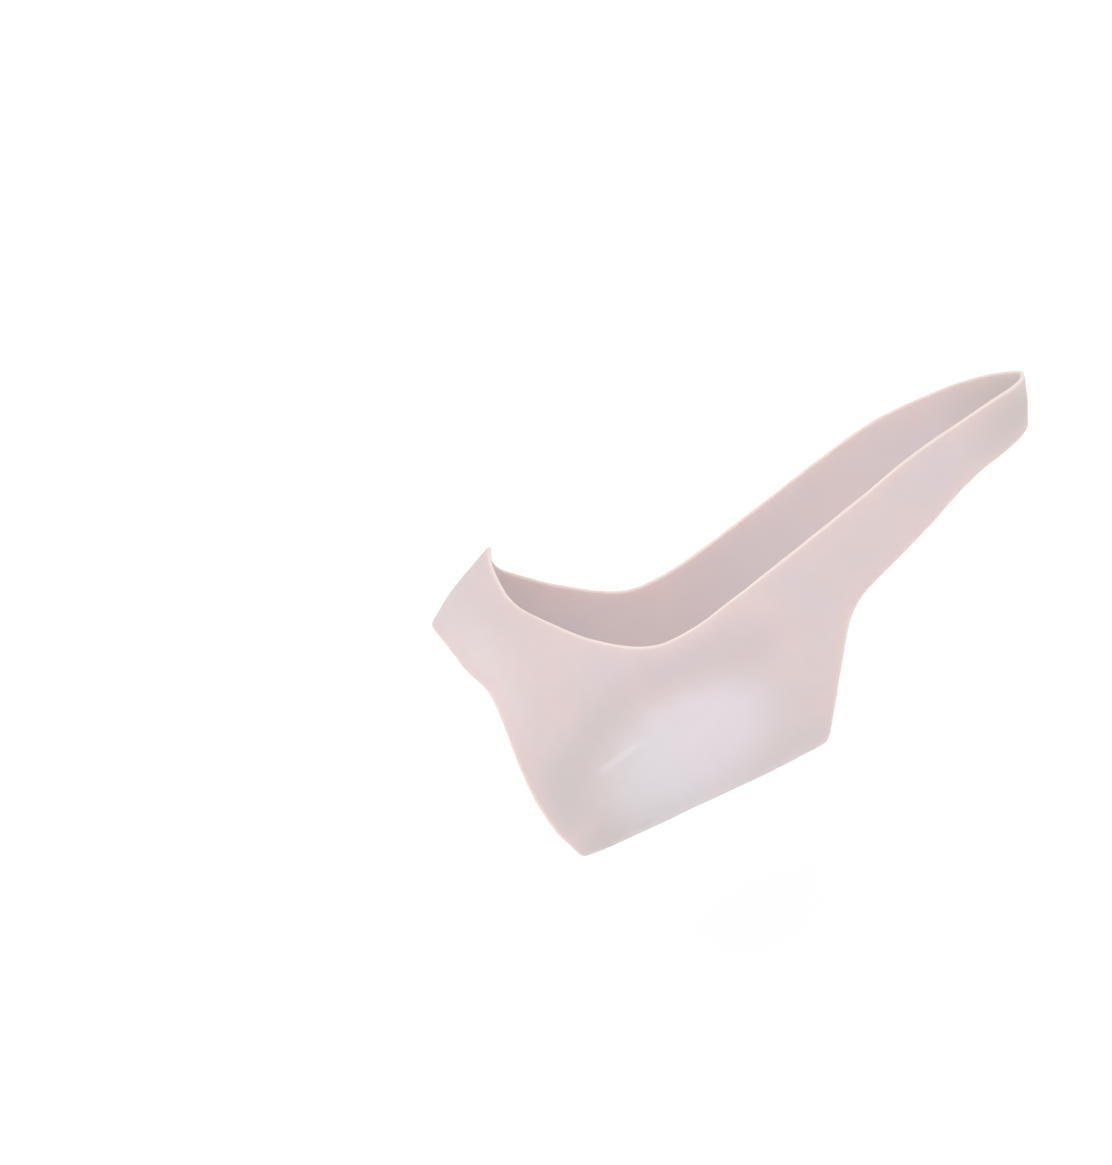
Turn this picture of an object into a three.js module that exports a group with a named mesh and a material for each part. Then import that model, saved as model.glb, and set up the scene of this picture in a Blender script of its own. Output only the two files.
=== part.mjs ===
// Arch support sleeve with a heel strap, for a right foot.
// One soft moulded piece: a band that goes all round the middle of the foot, a thick pad under
// the arch, and a narrow strap that runs from the band round the back of the heel.
// Millimetres. +X runs to the heel, -Y to the inner side of the foot (the arch side), +Z up.
// The origin is on the inside of the sole, under the middle of the arch.
import * as THREE from "three";
import { mergeVertices } from "three/addons/utils/BufferGeometryUtils.js";

// Moulded wall, which thins towards its rims, the depth over which the rims round off, and the mesh
// rows there
const WALL = 1.6;
const RIM_WALL = 1.0;
const RIM_TAPER = 7;
const RIM_DEPTH = 0.4;
const RIM_ROWS = [0.1, 0.45];

// Foot form that the middle of the wall follows. The walls run straight to the middle of the foot
// and then round the heel as half an oval.
const HEEL_REACH = 93;
const ARCH_SIDE = { front: 33.2, back: 34.4 };
const OUTER_SIDE = { front: 34.5, back: 32.5 };
const WIDTH_CHANGE = { from: -40, to: 30 };
const WIDEST_LINE = { front: 17.5, back: 42 };
const WIDEST_RISE = { from: -30, to: 110 };
const INSTEP = { x: -37, height: 54.8, slope: Math.tan(THREE.MathUtils.degToRad(30)) };
const INSTEP_SHIFT = -4;
const INSTEP_POWER = { arch: 2.1, outer: 1.8 };
const OUTER_LEAN = { from: -20, to: 60 };
const SOLE_CORNER_POWER = 3.2;
const SOLE_FLAT = 0.5;
const HEEL_LEAN = { slope: 0.35, level: 42 };

// The three rims in side view, each from the sole or the instep's crest to the other end.
// z is the height above the middle of the sole's wall.
const CREST = "crest";
const FRONT_RIM = [
  { x: -27.9, z: 0 },
  { x: -29.0, z: 2.5 },
  { x: -31.7, z: 11.7 },
  { x: -32.8, z: 24.0 },
  { x: -31.9, z: 41.0 },
  { x: -34.8, z: 48.5 },
  { x: -37.3, z: CREST },
];
const ANKLE_RIM = [
  { x: -19.5, z: CREST },
  { x: -20.5, z: 57.5 },
  { x: -15.6, z: 50.5 },
  { x: -8.4, z: 43.9 },
  { x: 1.6, z: 38.0 },
  { x: 12.0, z: 38.1 },
  { x: 22.0, z: 40.3 },
  { x: 37.0, z: 43.6 },
  { x: 53.0, z: 47.1 },
  { x: 64.0, z: 49.6 },
  { x: 76.5, z: 50.8 },
  { x: 87.0, z: 50.9 },
  { x: HEEL_REACH, z: 50.8 },
];
const HEEL_RIM = [
  { x: HEEL_REACH, z: 40.2 },
  { x: 86.0, z: 39.7 },
  { x: 75.8, z: 38.4 },
  { x: 62.0, z: 33.6 },
  { x: 50.2, z: 30.0 },
  { x: 43.9, z: 26.8 },
  { x: 37.4, z: 17.9 },
  { x: 29.4, z: 4.0 },
  { x: 26.7, z: 0 },
];

// The outer ankle rim sits lower than the inner one
const OUTER_DROP = { depth: 2.0, from: -20, to: 64 };

// Arch pad: its middle and half sizes along the foot and round the girth (degrees), how far it
// stands in towards the foot and out from the wall, and how softly the inside fades out
const PAD = { x: 1, turn: -37, halfLength: 25, halfTurn: 46, inward: 8, outward: 1.6, fade: 1.5 };
const PAD_DIRECTION = new THREE.Vector3(0, 0.75, 0.66).normalize();
const PAD_CLEAR_OF_SOLE = 9;

// Each half is a six-sided patch of rims and seams, in order round it. A line from the middle of
// each side runs to a hub on the wall and is cut into this many mesh cells.
const SIDES = [
  { name: "frontRim", rim: true, cells: 10, middle: { x: -31, z: 13 } },
  { name: "instepSeam", rim: false, cells: 16, middle: { x: -29, z: CREST } },
  { name: "ankleRim", rim: true, cells: 5, middle: { x: 20, z: 38.9 } },
  { name: "backSeam", rim: false, cells: 24, middle: { x: HEEL_REACH, z: 45.5 } },
  { name: "heelRim", rim: true, cells: 5, middle: { x: 33, z: 11 } },
  { name: "soleSeam", rim: false, cells: 14, middle: { x: 0, z: 0 } },
];
const HUB = { x: 18, z: 24 };
const PATH_SAMPLES = 160;
const BEND_LENGTH = 15;
const NORMAL_STEP = 0.05;
const ROUNDING = 1e-6;
const MERGE_DISTANCE = 1e-3;

const SILICONE = new THREE.MeshStandardMaterial({ color: 0xe3d2d1, roughness: 0.42, metalness: 0 });

const { lerp, smoothstep, degToRad, radToDeg, clamp } = THREE.MathUtils;

// Girth angles of the sole and the instep's crest, and the run along the form to the middle of the back
const SOLE = -90;
const TOP = 90;
const BACK = (HEEL_REACH * Math.PI) / 2;

// Sizes of the foot form at a place along it
function halfWidth(side, along) {
  const size = side < 0 ? ARCH_SIDE : OUTER_SIDE;
  return lerp(size.front, size.back, smoothstep(along, WIDTH_CHANGE.from, WIDTH_CHANGE.to));
}

function widestHeight(along) {
  const share = smoothstep(along, WIDEST_RISE.from, WIDEST_RISE.to);
  return lerp(WIDEST_LINE.front, WIDEST_LINE.back, share);
}

function crestHeight(along) {
  return INSTEP.height + INSTEP.slope * (along - INSTEP.x);
}

// How square the girth is: boxy under the widest line, rounder above it, leaner on the outer instep
function girthPower(side, along, above) {
  if (!above) {
    return SOLE_CORNER_POWER;
  }
  const lean = side < 0 ? 0 : 1 - smoothstep(along, OUTER_LEAN.from, OUTER_LEAN.to);
  return lerp(INSTEP_POWER.arch, INSTEP_POWER.outer, lean);
}

// A place on the form is a Vector2: x runs along the foot and on round the heel, y is the girth
// angle in degrees, from the sole past 0 at the widest line to the instep's crest
function formPoint(side, place) {
  const widest = widestHeight(place.x);
  const crest = crestHeight(place.x);
  const round = Math.max(place.x, 0) / HEEL_REACH;
  const across = Math.cos(degToRad(place.y));
  const rise = Math.sin(degToRad(place.y));
  const power = girthPower(side, place.x, rise >= 0);
  const reach = (Math.abs(across) ** power + Math.abs(rise) ** power) ** (-1 / power);
  const z = widest + (rise < 0 ? widest : crest - widest) * rise * reach;
  const shift = INSTEP_SHIFT * (z / crest) ** 2;
  const x = place.x < 0 ? place.x : HEEL_REACH * Math.sin(round);
  const lean = HEEL_LEAN.slope * (z - HEEL_LEAN.level) * Math.sin(round) ** 2;
  const y = (side * halfWidth(side, place.x) * across * reach + shift) * Math.cos(round);
  return new THREE.Vector3(x + lean, y, Math.max(z - SOLE_FLAT, 0) - WALL / 2);
}

function formNormal(side, place) {
  const near = (along, turn) => formPoint(side, new THREE.Vector2(place.x + along, place.y + turn));
  const lengthwise = near(NORMAL_STEP, 0).sub(near(-NORMAL_STEP, 0));
  const girthwise = near(0, NORMAL_STEP).sub(near(0, -NORMAL_STEP));
  return girthwise.cross(lengthwise).multiplyScalar(side).normalize();
}

// The wall's outward direction, shared by both halves where they meet
function wallNormal(side, place) {
  const normal = formNormal(side, place);
  const onSeam = Math.abs(place.y) > TOP - ROUNDING || place.x > BACK - ROUNDING;
  return onSeam ? normal.add(formNormal(-side, place)).normalize() : normal;
}

// The place on the form at a side-view point
function onForm(side, { x, z }) {
  const along = x < 0 ? x : HEEL_REACH * Math.asin(Math.min(x / HEEL_REACH, 1));
  if (z === CREST) {
    return new THREE.Vector2(along, TOP);
  }
  const widest = widestHeight(along);
  const height = z > 0 ? z + SOLE_FLAT : 0;
  const above = height >= widest;
  const power = girthPower(side, along, above);
  const rise = (height - widest) / (above ? crestHeight(along) - widest : widest);
  const across = (1 - Math.abs(rise) ** power) ** (1 / power);
  return new THREE.Vector2(along, radToDeg(Math.atan2(rise, across)));
}

// The same place in the other half's run of the form, past the crest, the sole or the back
function mirrored(place, seam) {
  if (seam === BACK) {
    return new THREE.Vector2(2 * BACK - place.x, place.y);
  }
  return new THREE.Vector2(place.x, 2 * seam - place.y);
}

// A rim as a smooth curve through its places, running on into the other half at both ends
function rimPlaces(places, startSeam, endSeam) {
  const before = mirrored(places[1], startSeam);
  const after = mirrored(places.at(-2), endSeam);
  const curve = new THREE.SplineCurve([before, ...places, after]);
  const spans = places.length + 1;
  return Array.from({ length: PATH_SAMPLES + 1 }, (_, index) => (
    curve.getPoint(lerp(1, places.length, index / PATH_SAMPLES) / spans)
  ));
}

function straightPlaces(from, to, bend = from.clone().lerp(to, 0.5)) {
  return new THREE.QuadraticBezierCurve(from, bend, to).getPoints(PATH_SAMPLES);
}

// The value on a rising scale that goes with a key on another
function valueAt(keys, values, key) {
  const next = Math.max(1, keys.findIndex((entry) => entry >= key - ROUNDING));
  const share = clamp((key - keys[next - 1]) / (keys[next] - keys[next - 1]), 0, 1);
  return lerp(values[next - 1], values[next], share);
}

// Mesh places along a path: close to a rim at its start, or closer together on tight bends
function pathNodes(side, places, cells, startsAtRim) {
  const points = places.map((place) => formPoint(side, place));
  const lengths = [0];
  const weights = [0];
  for (let index = 1; index < points.length; index += 1) {
    const step = points[index].clone().sub(points[index - 1]);
    const next = points[Math.min(index + 1, points.length - 1)].clone().sub(points[index]);
    const bend = next.lengthSq() > 0 ? step.angleTo(next) : 0;
    lengths.push(lengths.at(-1) + step.length());
    weights.push(weights.at(-1) + step.length() + BEND_LENGTH * bend);
  }
  const total = lengths.at(-1);
  return Array.from({ length: cells + 1 }, (_, cell) => {
    let length = valueAt(weights, lengths, (weights.at(-1) * cell) / cells);
    if (startsAtRim) {
      const depths = [0, ...RIM_ROWS];
      const last = depths.length - 1;
      length = depths[cell] ?? lerp(depths[last], total, (cell - last) / (cells - last));
    }
    const place = new THREE.Vector2(
      valueAt(lengths, places.map((entry) => entry.x), length),
      valueAt(lengths, places.map((entry) => entry.y), length),
    );
    return { place, share: length / total };
  });
}

// The six sides of one half
function halfSides(side) {
  const drop = ({ x }) => {
    const share = clamp((x - OUTER_DROP.from) / (OUTER_DROP.to - OUTER_DROP.from), 0, 1);
    return side > 0 ? OUTER_DROP.depth * Math.sin(Math.PI * share) ** 2 : 0;
  };
  const lowered = (row) => (row.z === CREST ? row : { x: row.x, z: row.z - drop(row) });
  const front = FRONT_RIM.map((row) => onForm(side, row));
  const ankle = ANKLE_RIM.map((row) => onForm(side, lowered(row)));
  const heel = HEEL_RIM.map((row) => onForm(side, row));
  return {
    frontRim: rimPlaces(front, SOLE, TOP),
    instepSeam: straightPlaces(front.at(-1), ankle[0]),
    ankleRim: rimPlaces(ankle, TOP, BACK),
    backSeam: straightPlaces(ankle.at(-1), heel[0]),
    heelRim: rimPlaces(heel, BACK, SOLE),
    soleSeam: straightPlaces(heel.at(-1), front[0]),
  };
}

// A side cut in two at the place nearest to its middle point, and the line from there to the hub
function splitSide(side, { name, rim, cells, middle }, places) {
  const hub = onForm(side, HUB);
  const target = onForm(side, middle);
  const distances = places.map((place) => place.distanceTo(target));
  const index = distances.indexOf(Math.min(...distances));
  const start = places[index];
  const bend = name === "instepSeam" ? new THREE.Vector2(start.x, hub.y) : undefined;
  return {
    rim,
    cells,
    first: places.slice(0, index + 1),
    second: places.slice(index),
    spoke: straightPlaces(start, hub, bend),
  };
}

// One half as six grids of places, each between two neighbouring sides and the hub
function halfPatches(side) {
  const runs = halfSides(side);
  const sides = SIDES.map((row) => splitSide(side, row, runs[row.name]));
  return sides.map((here, index) => {
    const after = sides[(index + 1) % sides.length];
    const places = blendPatch({
      near: pathNodes(side, after.first, here.cells, here.rim),
      far: pathNodes(side, here.spoke, here.cells, here.rim),
      left: pathNodes(side, [...here.second].reverse(), after.cells, after.rim),
      right: pathNodes(side, after.spoke, after.cells, after.rim),
    });
    return places.map((row, across) => row.map((place, down) => {
      const onRim = here.rim ? across === 0 : down === 0;
      return { place, onRim };
    }));
  });
}

// Places inside a four-sided patch, blended from its edges
function blendPatch({ near, far, left, right }) {
  const corners = [near[0].place, near.at(-1).place, far[0].place, far.at(-1).place];
  const blend = (a, b, share) => a.clone().lerp(b, share);
  return near.map((_, across) => left.map((__, down) => {
    const v = lerp(left[down].share, right[down].share, across / (near.length - 1));
    const u = lerp(near[across].share, far[across].share, v);
    const place = blend(near[across].place, far[across].place, v);
    place.add(blend(left[down].place, right[down].place, u));
    return place.sub(blend(blend(corners[0], corners[1], u), blend(corners[2], corners[3], u), v));
  }));
}

// Wall thickness, full inside, thinner near a rim and rounded off to nothing at it
function wallAt(point, rims) {
  const nearest = new THREE.Vector3();
  let distance = Infinity;
  for (const segment of rims) {
    segment.closestPointToPoint(point, true, nearest);
    distance = Math.min(distance, nearest.distanceTo(point));
  }
  const wall = lerp(RIM_WALL, WALL, smoothstep(distance, 0, RIM_TAPER));
  const depth = clamp(distance / RIM_DEPTH, 0, 1);
  return wall * Math.sqrt(1 - (1 - depth) ** 2);
}

// How much of the arch pad stands at a place: 1 at its middle, 0 outside it
function padShare(side, point, turn) {
  const length = (point.x - PAD.x) / PAD.halfLength;
  const girth = (turn - PAD.turn) / PAD.halfTurn;
  return side < 0 ? Math.max(0, 1 - length ** 2 - girth ** 2) : 0;
}

// The outer and inner points of the wall at a place
function wallPoints(side, { place, onRim }, rims) {
  const middle = formPoint(side, place);
  const normal = wallNormal(side, place);
  const half = onRim ? 0 : wallAt(middle, rims) / 2;
  const pad = padShare(side, middle, place.y);
  const clearOfSole = smoothstep(middle.z, 0, PAD_CLEAR_OF_SOLE);
  const outer = middle.clone().addScaledVector(normal, half + PAD.outward * pad * clearOfSole);
  const inner = middle.clone().addScaledVector(normal, -half);
  inner.addScaledVector(PAD_DIRECTION, PAD.inward * pad ** PAD.fade);
  return { outer, inner };
}

function rimSegments(side) {
  const runs = halfSides(side);
  return SIDES.filter(({ rim }) => rim).flatMap(({ name }) => {
    const points = runs[name].map((place) => formPoint(side, place));
    return points.slice(1).map((point, index) => new THREE.Line3(points[index], point));
  });
}

// The whole sleeve: outer and inner skins of both halves, joined at the seams and rims
function sleeveGeometry() {
  const rims = [-1, 1].flatMap(rimSegments);
  const positions = [];
  const addFace = (corners, flip) => {
    const [a, b, c, d] = flip ? [...corners].reverse() : corners;
    [a, b, c, a, c, d].forEach((corner) => positions.push(...corner.toArray()));
  };
  for (const side of [-1, 1]) {
    for (const patch of halfPatches(side)) {
      const wall = patch.map((row) => row.map((node) => wallPoints(side, node, rims)));
      for (let across = 0; across < wall.length - 1; across += 1) {
        for (let down = 0; down < wall[0].length - 1; down += 1) {
          const corners = [
            wall[across][down],
            wall[across + 1][down],
            wall[across + 1][down + 1],
            wall[across][down + 1],
          ];
          addFace(corners.map((corner) => corner.outer), side < 0);
          addFace(corners.map((corner) => corner.inner), side > 0);
        }
      }
    }
  }
  const loose = new THREE.BufferGeometry();
  loose.setAttribute("position", new THREE.Float32BufferAttribute(positions, 3));
  const geometry = mergeVertices(loose, MERGE_DISTANCE);
  geometry.computeVertexNormals();
  return geometry;
}

const sleeve = new THREE.Mesh(sleeveGeometry(), SILICONE);
sleeve.name = "arch_sleeve";

const group = new THREE.Group();
group.add(sleeve);

export default group;
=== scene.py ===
# %% [markdown]
# # A silicone arch support sleeve
# The real thing is one soft moulding: a band that closes all round, a thick pad at the arch and a
# narrow strap that loops round the heel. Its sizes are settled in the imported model, so the lesson
# starts by loading that model as a fixed frame. Everything is in metres, in the frame's own axes:
# +X to the heel, -Y to the arch side, +Z up.

# %% Load the frame
import math

import bpy
from mathutils import Matrix, Vector
from mathutils.geometry import intersect_point_line
from mathutils.kdtree import KDTree


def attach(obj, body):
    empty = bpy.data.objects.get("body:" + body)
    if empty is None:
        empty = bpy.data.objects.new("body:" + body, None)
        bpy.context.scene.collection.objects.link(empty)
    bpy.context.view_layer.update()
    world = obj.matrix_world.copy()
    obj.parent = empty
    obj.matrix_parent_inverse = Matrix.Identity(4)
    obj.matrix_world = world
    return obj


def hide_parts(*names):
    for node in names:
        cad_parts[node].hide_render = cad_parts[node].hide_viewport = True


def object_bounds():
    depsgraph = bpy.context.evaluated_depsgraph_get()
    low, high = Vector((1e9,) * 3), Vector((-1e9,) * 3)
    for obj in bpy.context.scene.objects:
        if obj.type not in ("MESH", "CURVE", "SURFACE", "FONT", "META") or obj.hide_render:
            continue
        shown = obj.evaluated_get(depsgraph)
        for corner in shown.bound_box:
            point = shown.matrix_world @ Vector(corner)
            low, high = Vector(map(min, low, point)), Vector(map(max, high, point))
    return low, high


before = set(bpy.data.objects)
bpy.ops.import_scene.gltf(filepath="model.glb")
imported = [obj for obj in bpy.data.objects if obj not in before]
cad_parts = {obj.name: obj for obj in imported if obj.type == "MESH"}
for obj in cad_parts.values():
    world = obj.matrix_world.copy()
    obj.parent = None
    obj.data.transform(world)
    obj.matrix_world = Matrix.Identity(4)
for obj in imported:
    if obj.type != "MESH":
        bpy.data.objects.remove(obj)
cad_low, cad_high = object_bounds()
MM = 0.001
bpy.ops.object.select_all(action="DESELECT")
cad_size = [round(side / MM, 1) for side in cad_high - cad_low]
print("frame", sorted(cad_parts), "size in mm", cad_size)

# %% [markdown]
# ## Camera
# The camera could be placed by eye, but then every size in the picture is a guess. Here it stands at
# a usual distance for a small thing, and the rest follows from four readings: the picture's scale,
# the point at its middle, how steeply the camera looks down, and how far the sole slopes across the
# picture. The camera rolls by that slope, so the frame keeps its flat sole.

# %% Camera
PICTURE_WIDTH_PX = 1112
PICTURE_HEIGHT_PX = 1165
PIXELS_PER_MM = 4.8
CAMERA_AIM = Vector((-10.3, 0.4, 50.2)) * MM
CAMERA_DISTANCE = 1100 * MM
CAMERA_ELEVATION = math.radians(12)
CAMERA_ROLL = math.radians(24.6)
SENSOR_MM = 36

camera_tilt = Matrix.Rotation(math.pi / 2 - CAMERA_ELEVATION, 3, "X")
camera_turn = camera_tilt @ Matrix.Rotation(-CAMERA_ROLL, 3, "Z")
picture_right, picture_up, towards_camera = camera_turn.col
bpy.ops.object.camera_add(
    location=CAMERA_AIM + towards_camera * CAMERA_DISTANCE,
    rotation=camera_turn.to_euler(),
)
camera = bpy.context.object
camera.name = "camera"
camera.data.sensor_width = SENSOR_MM
long_side = max(PICTURE_WIDTH_PX, PICTURE_HEIGHT_PX) / PIXELS_PER_MM * MM
camera.data.lens = SENSOR_MM * CAMERA_DISTANCE / long_side
bpy.context.scene.camera = camera
camera_place = [round(part / MM) for part in camera.location]
print("camera at", camera_place, "mm, lens", round(camera.data.lens, 1), "mm")

# %% [markdown]
# ## The moulding's form
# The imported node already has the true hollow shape, as flat triangles. Modelling the form again
# would only make it differ, so a copy of the node's mesh is the cage: its loose triangles are
# merged, joined back into four-sided faces, and smoothed by a Subdivision Surface, which gives the
# even walls and round rims of a poured part.

# %% Copy the node into a cage of four-sided faces
MERGE_DISTANCE = 0.005 * MM
ANY_ANGLE = math.pi
ROW_PREFERENCE = 1.5  # how strongly Blender favours faces that carry on a row
cad_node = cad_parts["arch_sleeve"]
sleeve = bpy.data.objects.new("moulded_sleeve", cad_node.data.copy())
bpy.context.scene.collection.objects.link(sleeve)
sleeve.data.materials.clear()
bpy.ops.object.select_all(action="DESELECT")
sleeve.select_set(True)
bpy.context.view_layer.objects.active = sleeve

bpy.ops.object.mode_set(mode="EDIT")
bpy.ops.mesh.select_all(action="SELECT")
bpy.ops.mesh.remove_doubles(threshold=MERGE_DISTANCE)
bpy.ops.mesh.tris_convert_to_quads(
    face_threshold=ANY_ANGLE, shape_threshold=ANY_ANGLE, topology_influence=ROW_PREFERENCE,
)
bpy.ops.object.mode_set(mode="OBJECT")
face_sides = [len(face.vertices) for face in sleeve.data.polygons]
print("cage of", face_sides.count(4), "four-sided faces and", face_sides.count(3), "triangles")

# %% Smooth the cage
SMOOTH_LEVELS = 2
smooth = sleeve.modifiers.new("soft walls", "SUBSURF")
smooth.levels = SMOOTH_LEVELS
smooth.render_levels = SMOOTH_LEVELS
bpy.ops.object.modifier_apply(modifier=smooth.name)
bpy.ops.object.shade_smooth()
print("sleeve of", len(sleeve.data.polygons), "faces")

# %% [markdown]
# ## Soft relief
# Poured gel isn't as even as a drawing. Its walls wave a little, the pad swells out with a clear
# shoulder along its upper edge, the wall sinks above that shoulder, and the corners by the sole draw
# in. Sculpting would do this with a soft brush, but a brush stroke is hard to write down and repeat.
# Here a Displace modifier makes the waves, and each stroke is one point of the surface, moved with
# proportional editing. It goes by the way along the surface, so it carries the neighbours along and
# doesn't reach through the wall.

# %% Let the walls wave
WAVE_SIZE = 9 * MM
WAVE_HEIGHT = 0.3 * MM
wave_pattern = bpy.data.textures.new("poured gel waves", "CLOUDS")
wave_pattern.noise_scale = WAVE_SIZE
waves = sleeve.modifiers.new("poured gel waves", "DISPLACE")
waves.texture = wave_pattern
waves.texture_coords = "LOCAL"
waves.strength = WAVE_HEIGHT
still_walls = [vertex.co.copy() for vertex in sleeve.data.vertices]
bpy.ops.object.modifier_apply(modifier=waves.name)
rises = [(vertex.co - still).length for vertex, still in zip(sleeve.data.vertices, still_walls)]
print("waves of up to", round(max(rises) / MM, 2), "mm")

# %% Press the strokes into the surface
STROKES = (
    # name, place in mm, push in mm, brush radius in mm
    ("pad, front third", (-9, -35, 14), (0, -0.5, 0), 11),
    ("pad, middle", (1, -36, 15.5), (0, -0.7, 0), 12),
    ("pad, rear third", (11, -36, 16.5), (0, -0.5, 0), 11),
    ("shoulder, front end", (-17, -35, 18), (0, -0.3, 0), 4.5),
    ("shoulder, front", (-12, -35, 21), (0, -0.4, 0), 5),
    ("shoulder, middle", (-5, -35, 22.5), (0, -0.4, 0), 5),
    ("shoulder, rear", (3, -35, 23), (0, -0.3, 0), 5),
    ("crease, front", (-13.5, -35, 19.6), (0, -0.15, 0), 2.4),
    ("crease, middle", (-11, -35, 19.9), (0, -0.2, 0), 2.4),
    ("crease, rear", (-8.5, -35, 20.2), (0, -0.15, 0), 2.4),
    ("hollow above the pad", (-5, -35, 30.5), (0, 0.8, 0), 9),
    ("hollow before the pad", (-18.5, -34, 30), (0, 0.5, 0), 9),
    ("hollow at the strap's root", (27, -34, 28), (0, 0.6, 0), 11),
    ("front corner by the sole", (-23, -33, 6.5), (0, 0.8, 0.4), 9),
    ("heel corner by the sole", (24, -30, 5.5), (-0.1, 0.3, 0.3), 6),
    ("nick by the sole, front", (-22, -25, 0.4), (0, 0.2, 0.5), 2.5),
    ("nick by the sole, middle", (-13.5, -30, 3), (0, 0.3, 0.4), 2.5),
    ("nick by the sole, rear", (9, -29, 2), (0, 0.2, 0.3), 3),
    ("swell on the instep", (-30, -26, 48), (-0.2, -0.4, 0.3), 9),
    ("crest of the instep", (-31, -5, 57.5), (-0.3, 0, 0.6), 13),
    ("rim beside the crest", (-20, -11, 60.5), (-0.6, 0, 0), 11),
    ("rim below the crest", (-14.5, -29, 49.5), (0.3, 0, 0.1), 9),
)


def press(place, push, radius):
    """Moves the surface's nearest point and its neighbours, and tells how far off that point was."""
    bpy.ops.mesh.select_all(action="DESELECT")
    bpy.ops.object.mode_set(mode="OBJECT")
    point = min(sleeve.data.vertices, key=lambda vertex: (vertex.co - place).length_squared)
    point.select = True
    miss = (point.co - place).length
    bpy.ops.object.mode_set(mode="EDIT")
    bpy.ops.transform.translate(
        value=push, use_proportional_edit=True, use_proportional_connected=True,
        proportional_edit_falloff="SMOOTH", proportional_size=radius,
    )
    return miss


bpy.ops.object.mode_set(mode="EDIT")
bpy.ops.mesh.select_mode(type="VERT")
misses = {
    name: press(Vector(place) * MM, Vector(push) * MM, radius * MM)
    for name, place, push, radius in STROKES
}
bpy.ops.mesh.select_all(action="DESELECT")
bpy.ops.object.mode_set(mode="OBJECT")
farthest = max(misses, key=misses.get)
farthest_miss = round(misses[farthest] / MM, 1)
print("strokes", len(misses), "farthest off the surface:", farthest, farthest_miss, "mm")

# %% [markdown]
# ## Rims
# The wall thins towards its rims, so more light goes through it there and it looks warmer. The
# finish needs to know how near a rim is. It could be painted by hand, but the mesh already tells: a
# rim is where the surface turns within a millimetre, and nothing else on the sleeve turns that
# tightly.

# %% Find the rims and measure how near each point is to one
RIM_TURN_RADIUS = 1.0 * MM
THIN_REACH = 3.5 * MM


def store(name, values):
    """Keeps one value per point of the sleeve, under a name that its material reads."""
    attribute = sleeve.data.attributes.new(name, "FLOAT", "POINT")
    attribute.data.foreach_set("value", values)


turns = [0.0] * len(sleeve.data.vertices)
for edge in sleeve.data.edges:
    start, end = (sleeve.data.vertices[index] for index in edge.vertices)
    turn = (start.normal - end.normal).length / max((start.co - end.co).length, MERGE_DISTANCE)
    for index in edge.vertices:
        turns[index] = max(turns[index], turn)
rim_points = [index for index, turn in enumerate(turns) if turn > 1 / RIM_TURN_RADIUS]
rim_tree = KDTree(len(rim_points))
for index in rim_points:
    rim_tree.insert(sleeve.data.vertices[index].co, index)
rim_tree.balance()
points = [vertex.co.copy() for vertex in sleeve.data.vertices]
rim_gaps = [rim_tree.find(point)[2] for point in points]
store("rim", [max(1 - gap / THIN_REACH, 0) for gap in rim_gaps])
print("points on rims", len(rim_points), "of", len(points))

# %% [markdown]
# ## Thick and thin gel
# Milky gel looks whiter where it is thick and greyer where it is thin. The pad shows as a pale cloud,
# with a clear border along its shoulder and none towards the sole. The wall before and above it is
# darkened by painted shade, where it sinks and gets less light, and so are the low front corner and the
# strap's back, where they turn away from the light. A painted highlight runs along the pad's shoulder,
# and painted light makes the front of the instep paler. Being in the colour, these stay as the view
# turns.
# A painted map would need an unwrapped mesh. These forms are simple enough to be measured from a
# middle or a line instead, each point for itself.

# %% Measure how deep in the pad each point lies
PAD_MIDDLE = Vector((0.5, -35, 14)) * MM
PAD_LEAN = 0.35  # how far the cloud leans to the heel for each step up
PAD_HALF_LENGTH = 24 * MM
PAD_ABOVE = 14.5 * MM
PAD_BELOW = 21 * MM
PAD_ACROSS = 24 * MM
# How wide the border is, as a share of the way from the middle to it
SHOULDER_SOFTNESS = 0.45
SOLE_SOFTNESS = 0.8
HALF_DEEP = 0.5


def fade(share):
    """A soft step from nothing to one."""
    inside = min(max(share, 0), 1)
    return inside * inside * (3 - 2 * inside)


def pad_ways(place):
    """The way from the pad's middle to a point, as shares of the way to the pad's border."""
    away = place - PAD_MIDDLE
    upward = away.z / (PAD_ABOVE if away.z > 0 else PAD_BELOW)
    return Vector(((away.x - PAD_LEAN * away.z) / PAD_HALF_LENGTH, away.y / PAD_ACROSS, upward))


def pad_depth(place):
    """One in the middle of the pad, falling to nothing at its border."""
    ways = pad_ways(place)
    upwards = ways.normalized().z
    softness = SOLE_SOFTNESS + (SHOULDER_SOFTNESS - SOLE_SOFTNESS) * (1 + upwards) / 2
    return fade((1 - ways.length) / softness)


pad_depths = [pad_depth(point) for point in points]
store("pad", pad_depths)
print("points in the pad", sum(depth > HALF_DEEP for depth in pad_depths))

# %% Measure where the wall is hollow, for its painted shade
HOLLOW_REACH = 1.2  # the ring's middle, where the pad's border is 1
HOLLOW_SOFTNESS = 0.5
HOLLOW_SIDE = Vector((-1.2, 0, 2))  # the ring lies before and above the pad only
CORNER_MIDDLE = Vector((-24, -30, 2)) * MM
CORNER_REACH = 14 * MM


def hollow_ring_shade(place):
    """One in the hollow above and before the pad's shoulder, where shade is painted, falling to nothing
    on all sides.
    """
    ways = pad_ways(place)
    forward_up = ways.normalized().dot(HOLLOW_SIDE)
    return fade(1 - abs(ways.length - HOLLOW_REACH) / HOLLOW_SOFTNESS) * fade(forward_up)


def corner_shade_depth(place):
    """One at the low front corner, where the wall turns under the sole and shade is painted, falling to
    nothing round it.
    """
    return fade(1 - (place - CORNER_MIDDLE).length / CORNER_REACH)


# the share of painted shade in the hollows and at the low front corner
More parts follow.
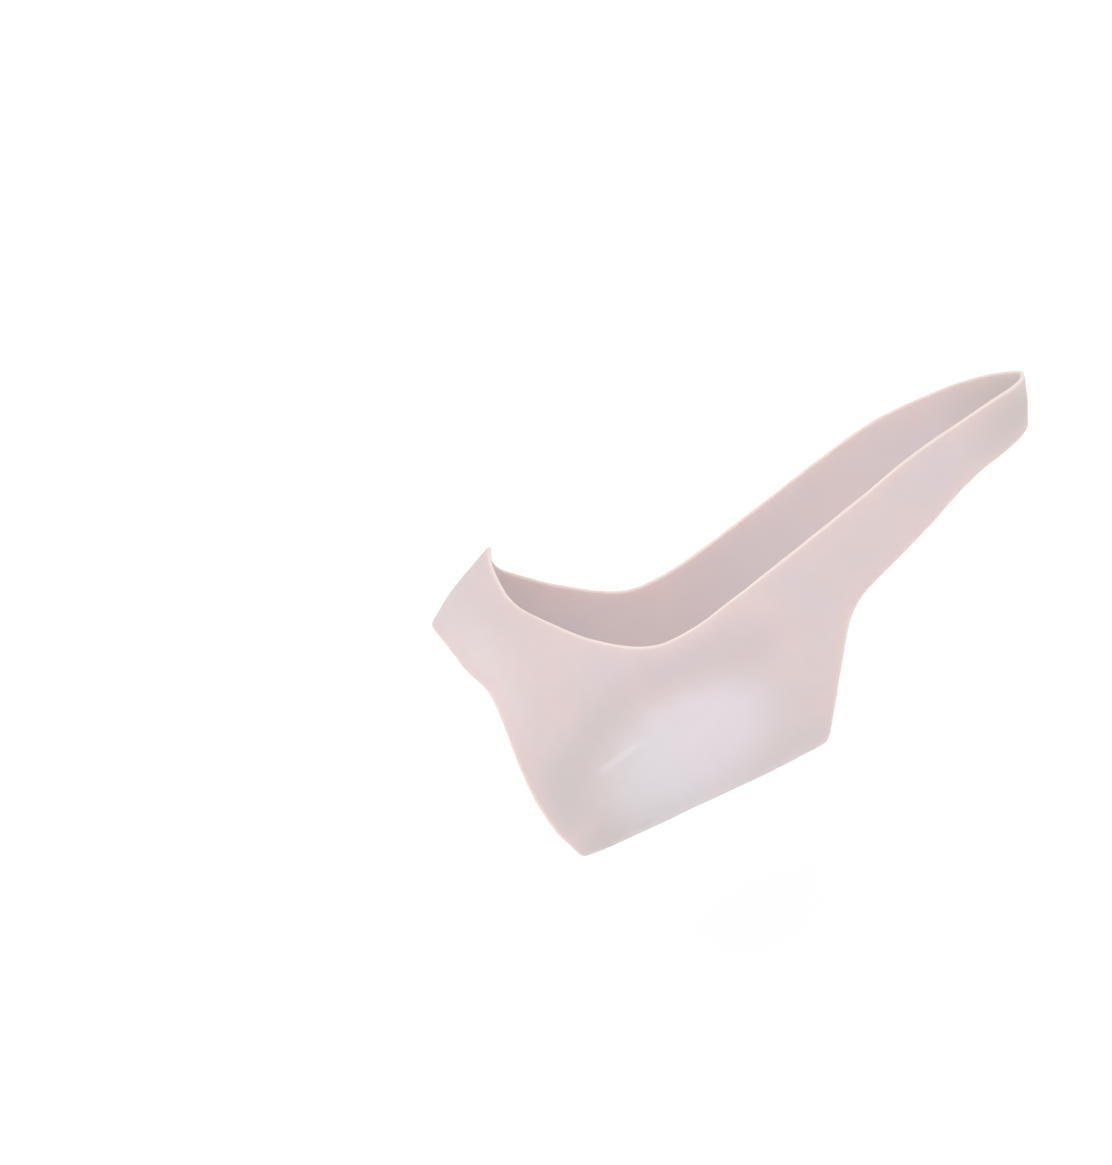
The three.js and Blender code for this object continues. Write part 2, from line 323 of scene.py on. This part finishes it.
hollow_shade_depths = [max(hollow_ring_shade(point), corner_shade_depth(point)) for point in points]
store("hollow", hollow_shade_depths)
print("points in the hollows", sum(depth > HALF_DEEP for depth in hollow_shade_depths))

# %% Measure the crease for its painted highlight and the front for its painted light
# painted highlight: a light line along the crease in the pad's shoulder
CREASE_START = Vector((-19.5, -35.0, 17.8)) * MM
CREASE_END = Vector((-6, -35.8, 20.7)) * MM
CREASE_HALF_WIDTH = 1.3 * MM
# painted light: the front of the instep is made paler where the light falls on it
LIT_FRONT_MIDDLE = Vector((-34, 0, 45)) * MM
LIT_FRONT_HALF_LENGTH = 14 * MM
LIT_FRONT_HALF_HEIGHT = 20 * MM


def crease_highlight_depth(place):
    """One along the crease in the pad's shoulder, where a highlight is painted, falling to nothing
    beside it and at its ends.
    """
    nearest, share = intersect_point_line(place, CREASE_START, CREASE_END)
    from_the_ends = 4 * share * (1 - share)
    return fade(1 - (place - nearest).length / CREASE_HALF_WIDTH) * fade(from_the_ends)


def lit_front_depth(place):
    """One at the front of the instep, where painted light makes it paler, falling to nothing round it.
    """
    away = place - LIT_FRONT_MIDDLE
    return fade(1 - math.hypot(away.x / LIT_FRONT_HALF_LENGTH, away.z / LIT_FRONT_HALF_HEIGHT))


crease_highlight_depths = [crease_highlight_depth(point) for point in points]
lit_front_depths = [lit_front_depth(point) for point in points]
store("crease", crease_highlight_depths)
store("pale", lit_front_depths)
print("points in the crease", sum(depth > HALF_DEEP for depth in crease_highlight_depths),
      "in the pale front", sum(depth > HALF_DEEP for depth in lit_front_depths))

# %% [markdown]
# ## Silicone
# The sleeve is cast from milky silicone gel in a satin mould. Light goes a millimetre or two into it,
# so its shadows are soft and its thin rims glow. A plain colour would look like painted plastic, so
# the gel has slow pink and grey clouds in its milk, the tints of thick and thin gel, painted shade,
# a painted highlight and painted light over them, and creamier rims. Each tint is one layer, laid over
# the last one by the share that was measured.

# %% Colour and node helpers
def linear(hex_colour):
    """An sRGB hex colour as the linear RGBA that shaders use, by the curve of the sRGB standard."""
    channels = [int(hex_colour[start:start + 2], 16) / 255 for start in (1, 3, 5)]
    return [c / 12.92 if c <= 0.04045 else ((c + 0.055) / 1.055) ** 2.4 for c in channels] + [1]


def add_node(tree, kind, inputs, **settings):
    """One shader node with its settings, and its inputs set to values or linked to other outputs."""
    node = tree.nodes.new(kind)
    for name, value in settings.items():
        setattr(node, name, value)
    for name, value in inputs.items():
        if isinstance(value, bpy.types.NodeSocket):
            tree.links.new(value, node.inputs[name])
        else:
            node.inputs[name].default_value = value
    return node


print("half bright grey is", round(linear("#808080")[0], 3), "in linear light")

# %% Clouds in the milk
# Satin moulded silicone gel: a soft, pale body with cloudy depth and no hard highlight
GEL_MILK = "#D7CBCB"
GEL_BLUSH = "#D9CBCB"
GEL_GREY = "#D6CBCD"
CLOUD_SIZE = 16 * MM
CLOUD_DETAIL = 2.0
GREY_UP_TO = 0.35
MILK_AT = 0.5
BLUSH_FROM = 0.65

gel = bpy.data.materials.new("satin_moulded_silicone_gel")
gel.use_nodes = True
tree = gel.node_tree
tree.nodes.clear()
gel_place = add_node(tree, "ShaderNodeTexCoord", {}).outputs["Object"]
clouds = add_node(tree, "ShaderNodeTexNoise", {
    "Vector": gel_place, "Scale": 1 / CLOUD_SIZE, "Detail": CLOUD_DETAIL,
})
milk = add_node(tree, "ShaderNodeValToRGB", {"Fac": clouds.outputs["Fac"]})
milk.color_ramp.elements[0].position = GREY_UP_TO
milk.color_ramp.elements[0].color = linear(GEL_GREY)
milk.color_ramp.elements[1].position = BLUSH_FROM
milk.color_ramp.elements[1].color = linear(GEL_BLUSH)
milk.color_ramp.elements.new(MILK_AT).color = linear(GEL_MILK)
print("clouds of", round(CLOUD_SIZE / MM), "mm from", GEL_GREY, "to", GEL_BLUSH)

# %% Shares of the tints
# painted shade: the strap's back is greyed towards the heel, where it turns away from the light
BACK_SHADE_START = 76 * MM
BACK_SHADE_MOST = 0.85
FRONT_START = 2 * MM
FRONT_END = -22 * MM
THIN_MOST = 0.7
RIM_EDGE = 0.9  # how near a rim its own tint starts, where 1 is on the rim

along = add_node(tree, "ShaderNodeSeparateXYZ", {"Vector": gel_place}).outputs["X"]
back_shade_share = add_node(tree, "ShaderNodeMapRange", {
    "Value": along, "From Min": BACK_SHADE_START, "From Max": cad_high.x, "To Max": BACK_SHADE_MOST,
})
front_share = add_node(tree, "ShaderNodeMapRange", {
    "Value": along, "From Min": FRONT_START, "From Max": FRONT_END,
})
measured = {
    name: add_node(tree, "ShaderNodeAttribute", {}, attribute_name=name).outputs["Fac"]
    for name in ("pale", "hollow", "pad", "crease", "rim")
}
thin_share = add_node(tree, "ShaderNodeMapRange", {"Value": measured["rim"], "To Max": THIN_MOST})
rim_share = add_node(tree, "ShaderNodeMapRange", {"Value": measured["rim"], "From Min": RIM_EDGE})
print("measured shares", sorted(measured))

# %% Lay the tints over the milk
# painted shade on the strap's back, where it turns away from the light
GEL_BACK_SHADE = "#C5BCB7"
# painted light on the front of the instep
GEL_LIT_FRONT = "#E0D5D4"
# painted shade: the hollows round the pad and the low front corner, which get less light
GEL_HOLLOW_SHADE = "#D2C6C8"
GEL_HOLLOW_SHADE_FRONT = "#CEC6C6"
GEL_PAD = "#DDD5DA"  # thick gel scatters more blue back, so the pad is whiter and cooler
GEL_PAD_FRONT = "#D6D4D6"
# painted highlight along the crease in the pad's shoulder
GEL_CREASE_HIGHLIGHT = "#DFD8DB"
GEL_THIN = "#D8CAC8"
GEL_RIM = "#DED2CD"  # light comes through the rims, warmed on its way

hollow_shade_tint = add_node(tree, "ShaderNodeMixRGB", {
    "Fac": front_share.outputs["Result"],
    "Color1": linear(GEL_HOLLOW_SHADE),
    "Color2": linear(GEL_HOLLOW_SHADE_FRONT),
})
pad_tint = add_node(tree, "ShaderNodeMixRGB", {
    "Fac": front_share.outputs["Result"],
    "Color1": linear(GEL_PAD),
    "Color2": linear(GEL_PAD_FRONT),
})
tints = (
    # share, colour
    (back_shade_share.outputs["Result"], linear(GEL_BACK_SHADE)),
    (measured["pale"], linear(GEL_LIT_FRONT)),
    (measured["hollow"], hollow_shade_tint.outputs["Color"]),
    (measured["pad"], pad_tint.outputs["Color"]),
    (measured["crease"], linear(GEL_CREASE_HIGHLIGHT)),
    (thin_share.outputs["Result"], linear(GEL_THIN)),
    (rim_share.outputs["Result"], linear(GEL_RIM)),
)
gel_colour = milk.outputs["Color"]
for share, tint in tints:
    layer = add_node(tree, "ShaderNodeMixRGB", {"Fac": share, "Color1": gel_colour, "Color2": tint})
    gel_colour = layer.outputs["Color"]
print("tints over the milk", len(tints))

# %% [markdown]
# ## Gloss and depth
# A satin mould leaves a fine grain on the gel, which spreads its highlights into a sheen. The grain
# could be modelled, but it is far finer than the mesh, so one noise gives both the bump and the
# changes in the gloss. Subsurface scattering lets light into the gel, red a little deeper than blue.

# %% Gloss, grain and depth
GRAIN_SIZE = 0.7 * MM  # a satin mould's grain is nearer 0.2 mm, drawn coarser so that it shows
GRAIN_DEPTH = 0.02 * MM
GRAIN_DETAIL = 3.0
SMOOTHEST = 0.38
ROUGHEST = 0.52
SILICONE_IOR = 1.41
SCATTERED_SHARE = 1.0
SCATTER_DEPTH = 1.5 * MM
SCATTER_BY_COLOUR = (1.0, 0.85, 0.8)

grain = add_node(tree, "ShaderNodeTexNoise", {
    "Vector": gel_place, "Scale": 1 / GRAIN_SIZE, "Detail": GRAIN_DETAIL,
})
grain_bump = add_node(tree, "ShaderNodeBump", {
    "Height": grain.outputs["Fac"], "Distance": GRAIN_DEPTH,
})
gloss = add_node(tree, "ShaderNodeMapRange", {
    "Value": grain.outputs["Fac"], "To Min": SMOOTHEST, "To Max": ROUGHEST,
})
shader = add_node(tree, "ShaderNodeBsdfPrincipled", {
    "Base Color": gel_colour,
    "Roughness": gloss.outputs["Result"],
    "IOR": SILICONE_IOR,
    "Subsurface Weight": SCATTERED_SHARE,
    "Subsurface Radius": SCATTER_BY_COLOUR,
    "Subsurface Scale": SCATTER_DEPTH,
    "Normal": grain_bump.outputs["Normal"],
})
add_node(tree, "ShaderNodeOutputMaterial", {"Surface": shader.outputs["BSDF"]})
sleeve.data.materials.append(gel)
print("material", gel.name, "with", len(tree.nodes), "nodes")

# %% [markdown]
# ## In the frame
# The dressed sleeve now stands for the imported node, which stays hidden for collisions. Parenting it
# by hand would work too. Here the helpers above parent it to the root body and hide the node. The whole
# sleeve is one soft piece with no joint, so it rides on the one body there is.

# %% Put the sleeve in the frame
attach(sleeve, "root")
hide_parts("arch_sleeve")
print("sleeve replaces", cad_node.name)

# %% [markdown]
# ## Floor and light
# The picture is a bright studio shot: a white ground that fades into the background, one large soft
# light from above the camera and a little to its left, and light from all round. The sleeve is shown
# clear of the ground, so the floor lies well below the sole. In a studio, a dark card would keep the
# ground's own light off a pale thing. Here the floor is left out of the light that surfaces pass on.

# %% Floor
FLOOR_DEPTH = 65 * MM
FLOOR_SIZE = 30.0  # metres, so that its edges fade out of every view
FLOOR_WHITE = "#FAF9F9"
FLOOR_ROUGHNESS = 0.9
FLOOR_GLOW = 0.12
bpy.ops.object.select_all(action="DESELECT")
bpy.ops.mesh.primitive_plane_add(size=FLOOR_SIZE, location=(0, 0, cad_low.z - FLOOR_DEPTH))
floor = bpy.context.object
floor.name = "floor"
bpy.ops.object.transform_apply(location=True)
# Matt white paper: no gloss, and a faint glow that melts it into the background
floor_paper = bpy.data.materials.new("matt_white_ground")
floor_paper.use_nodes = True
floor_shader = floor_paper.node_tree.nodes["Principled BSDF"]
floor_shader.inputs["Base Color"].default_value = linear(FLOOR_WHITE)
floor_shader.inputs["Roughness"].default_value = FLOOR_ROUGHNESS
floor_shader.inputs["Emission Color"].default_value = linear(FLOOR_WHITE)
floor_shader.inputs["Emission Strength"].default_value = FLOOR_GLOW
floor.data.materials.append(floor_paper)
floor.visible_diffuse = False
print("floor", round(FLOOR_DEPTH / MM), "mm under the sole")

# %% Soft light
SKY_WHITE = "#FFFFFF"
SKY_STRENGTH = 0.9
KEY_STRENGTH = 0.72
KEY_SPREAD = math.radians(35)
# How far the light stands above and to the left of the camera, as shares of its distance
KEY_RISE = 0.3
KEY_LEFT = 0.1
sky = bpy.data.worlds.new("pale_studio")
sky.use_nodes = True
background = sky.node_tree.nodes["Background"]
background.inputs["Color"].default_value = linear(SKY_WHITE)
background.inputs["Strength"].default_value = SKY_STRENGTH
bpy.context.scene.world = sky
key_direction = (towards_camera + picture_up * KEY_RISE - picture_right * KEY_LEFT).normalized()
bpy.ops.object.light_add(type="SUN", rotation=key_direction.to_track_quat("Z", "Y").to_euler())
key_light = bpy.context.object
key_light.name = "key_light"
key_light.data.energy = KEY_STRENGTH
key_light.data.angle = KEY_SPREAD
# The standard view transform shows the hex colours as they are written
bpy.context.scene.view_settings.view_transform = "Standard"
print("key light from", [round(part, 2) for part in key_direction])
